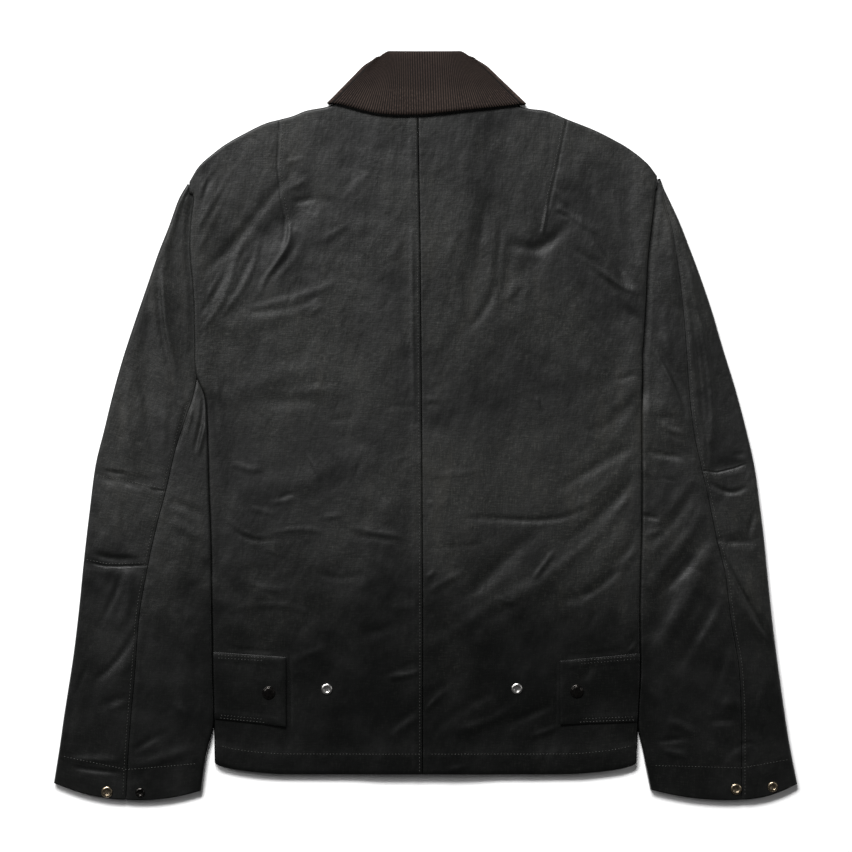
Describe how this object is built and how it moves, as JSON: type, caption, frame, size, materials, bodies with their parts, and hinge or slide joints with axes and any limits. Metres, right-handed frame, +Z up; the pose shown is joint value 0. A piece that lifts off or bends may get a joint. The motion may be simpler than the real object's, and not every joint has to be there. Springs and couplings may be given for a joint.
{
  "type": "waxed cotton jacket",
  "caption": "Waxed cotton jacket with a corduroy collar, elbow darts, side tabs and snaps, laid out flat on its front with the back up.",
  "frame": {"origin": "on the surface that the jacket lies on, under the middle of its outline", "axes": "+Z up through the laid layers, +Y from the hem to the collar, +X towards the wearer's right sleeve"},
  "size_m": [0.772, 0.7773, 0.0128],
  "materials": {
    "waxed_cotton": "waxed, dull sheen with a cloudy bloom",
    "corduroy": "needle corduroy with a matt pile",
    "gunmetal_snap": "dark gunmetal plating",
    "nickel_snap": "bright nickel plating",
    "brass_snap": "aged brass"
  },
  "bodies": {
    "root": {"back_left": "waxed_cotton", "back_right": "waxed_cotton", "front_left": "waxed_cotton", "front_right": "waxed_cotton", "sleeve_left_top": "waxed_cotton", "sleeve_left_under": "waxed_cotton", "sleeve_right_top": "waxed_cotton", "sleeve_right_under": "waxed_cotton", "side_tab_left": "waxed_cotton", "side_tab_right": "waxed_cotton", "collar_fall": "corduroy", "undercollar": "waxed_cotton", "collar_stand": "waxed_cotton", "tab_snap_left": "gunmetal_snap", "tab_snap_right": "gunmetal_snap", "back_stud_left": "nickel_snap", "back_stud_right": "nickel_snap", "cuff_left_snap_outer": "brass_snap", "cuff_left_snap_inner": "gunmetal_snap", "cuff_right_snap_inner": "brass_snap", "cuff_right_snap_outer": "brass_snap", "front_snap_1": "gunmetal_snap", "front_snap_2": "gunmetal_snap", "front_snap_3": "gunmetal_snap", "front_snap_4": "gunmetal_snap", "front_snap_5": "gunmetal_snap"}
  },
  "joints": []
}
